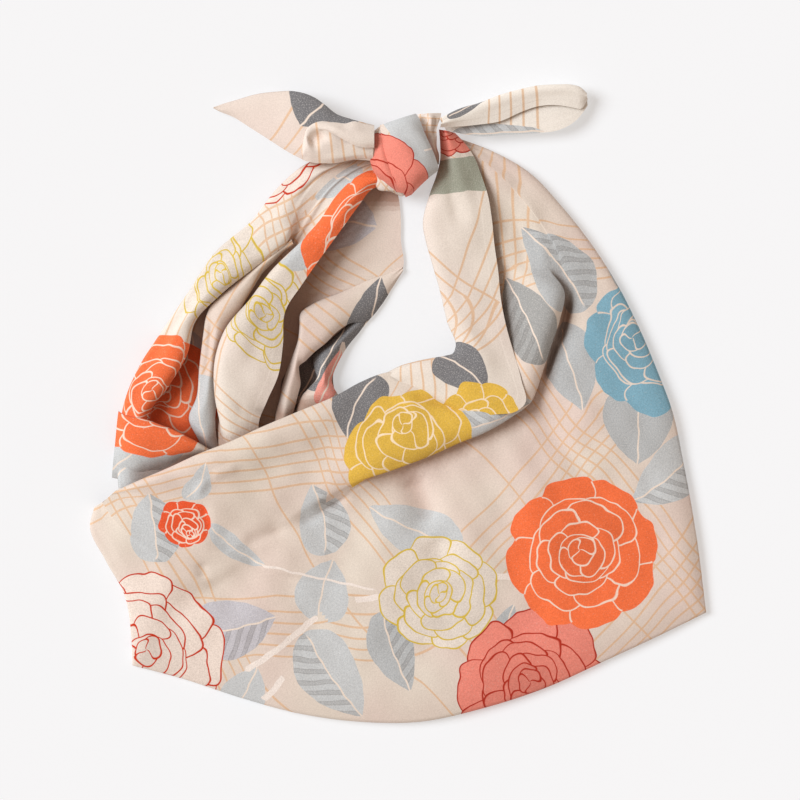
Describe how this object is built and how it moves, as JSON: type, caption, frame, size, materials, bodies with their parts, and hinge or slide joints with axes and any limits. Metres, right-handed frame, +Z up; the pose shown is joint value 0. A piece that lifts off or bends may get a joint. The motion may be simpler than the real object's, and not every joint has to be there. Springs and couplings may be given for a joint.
{
  "type": "furoshiki wrap",
  "caption": "Square printed cloth folded and tied into a teardrop pouch with one strap knot and two free ears, lying flat, with its handle loop and mouth open",
  "frame": {"origin": "middle of the bounding box at the underside, on the surface that the wrap lies on", "axes": "+Z up from the surface through the front of the pouch, +Y from the pouch's bottom fold to the knot, +X to the right seen from above"},
  "size_m": [0.5382, 0.5551, 0.046],
  "materials": {
    "printed_crepe": "matte fine crepe with printed flowers, leaves and thin check lines"
  },
  "bodies": {
    "root": {"furoshiki_cloth": "printed_crepe"}
  },
  "joints": []
}
